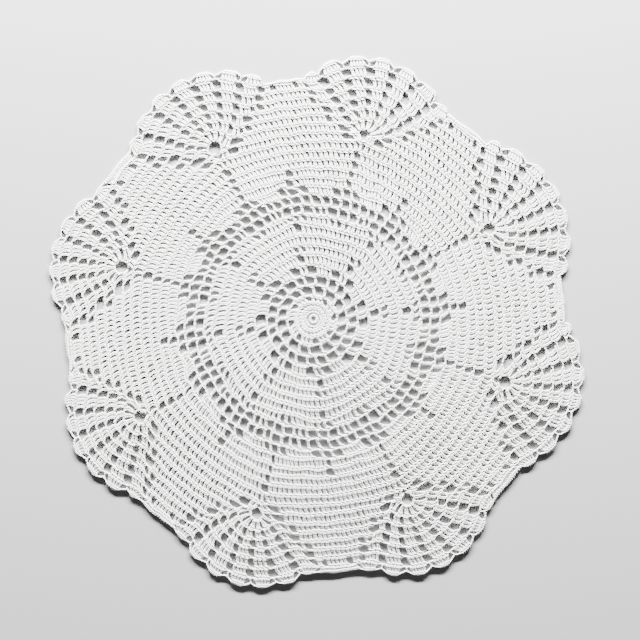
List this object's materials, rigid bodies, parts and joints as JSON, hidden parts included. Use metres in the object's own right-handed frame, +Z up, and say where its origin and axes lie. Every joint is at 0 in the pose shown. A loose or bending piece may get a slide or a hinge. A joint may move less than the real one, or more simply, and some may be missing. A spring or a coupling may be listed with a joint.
{
  "type": "lace doily",
  "caption": "Round crocheted lace doily with closed panels, open mesh, fans of openings and a scalloped edge, lying flat to cover or protect a tabletop.",
  "frame": {"origin": "middle of the underside's bounding box, on the surface that the doily lies on", "axes": "+Z up through the cloth's thickness, +X and +Y in its plane, with fans about 28, 75, 120, 164, 208, 253, 298 and 343 degrees from +X"},
  "size_m": [0.349, 0.347, 0.002],
  "materials": {
    "cotton": "matte white mercerised cotton thread, crocheted"
  },
  "bodies": {
    "root": {"doily": "cotton"}
  },
  "joints": []
}
